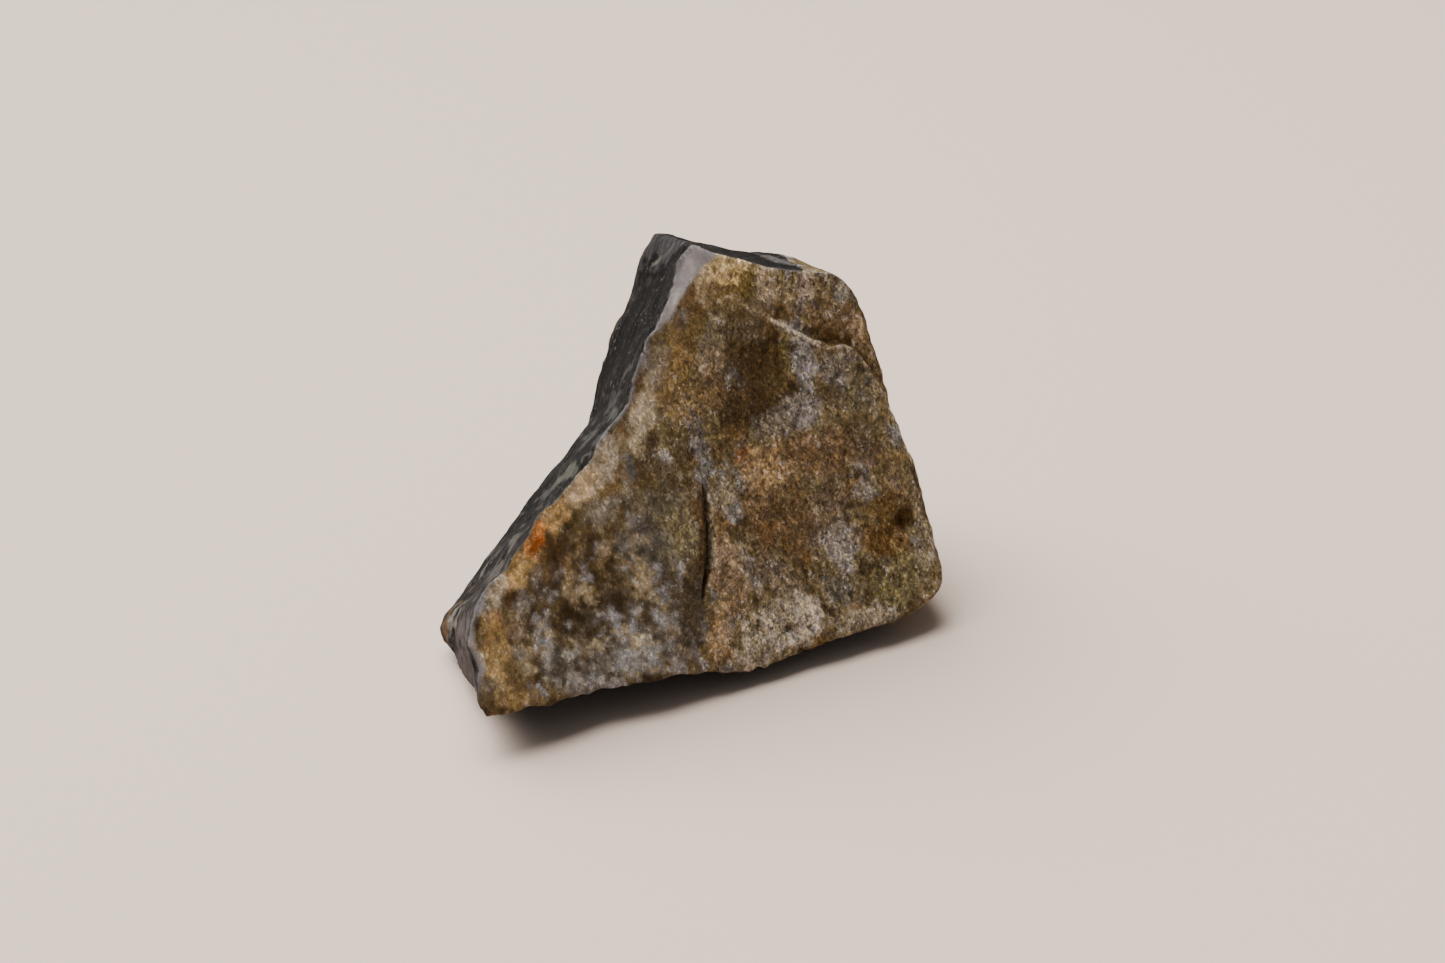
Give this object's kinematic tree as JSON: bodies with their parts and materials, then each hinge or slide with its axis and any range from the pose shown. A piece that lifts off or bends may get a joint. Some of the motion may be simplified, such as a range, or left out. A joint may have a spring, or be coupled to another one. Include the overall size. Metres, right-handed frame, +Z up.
{
  "type": "rough agate",
  "caption": "Rough broken piece of agate: a large weathered face with a ledge and an open crack, dark fracture faces left and on top, a rounded rind behind, and a small flat resting spot.",
  "frame": {"origin": "on the surface that carries the stone, under the middle of the stone's box", "axes": "+Z up from that surface, +X to the right and -Y to the front, where the large weathered face looks between -Y and +X"},
  "size_m": [0.0554, 0.0574, 0.0413],
  "materials": {
    "agate": "rough"
  },
  "bodies": {
    "root": {"rough_agate": "agate"}
  },
  "joints": []
}
